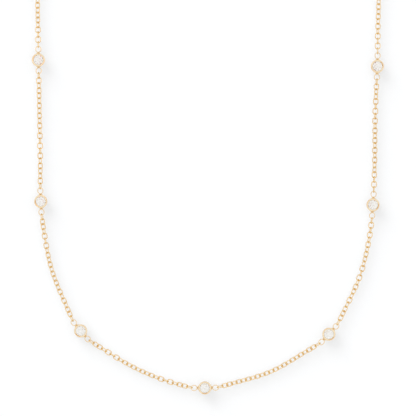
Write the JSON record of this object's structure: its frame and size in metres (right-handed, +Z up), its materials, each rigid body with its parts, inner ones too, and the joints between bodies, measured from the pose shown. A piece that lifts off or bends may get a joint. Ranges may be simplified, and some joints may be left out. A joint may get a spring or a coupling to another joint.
{
  "type": "station necklace",
  "caption": "Fine cable chain necklace with small round stones in bezel settings at even stations, closed by a ring clasp, lying flat in a loop.",
  "frame": {"origin": "on the surface that the necklace lies on, under the middle of its box", "axes": "+Y from the middle setting towards the clasp, +Z up from the surface, out of the stones' tables, +X to the right of both"},
  "size_m": [0.0804, 0.1894, 0.0021],
  "materials": {
    "setting_gold": "polished yellow gold",
    "chain_gold": "polished yellow gold",
    "clasp_gold": "polished yellow gold",
    "stone": "faceted clear stone"
  },
  "bodies": {
    "root": {"setting_1": "setting_gold", "setting_2": "setting_gold", "setting_3": "setting_gold", "setting_4": "setting_gold", "setting_5": "setting_gold", "setting_6": "setting_gold", "setting_7": "setting_gold", "stone_1": "stone", "stone_2": "stone", "stone_3": "stone", "stone_4": "stone", "stone_5": "stone", "stone_6": "stone", "stone_7": "stone", "front_chain": "chain_gold", "back_chain": "chain_gold", "clasp": "clasp_gold", "catch_ring": "clasp_gold"}
  },
  "joints": []
}
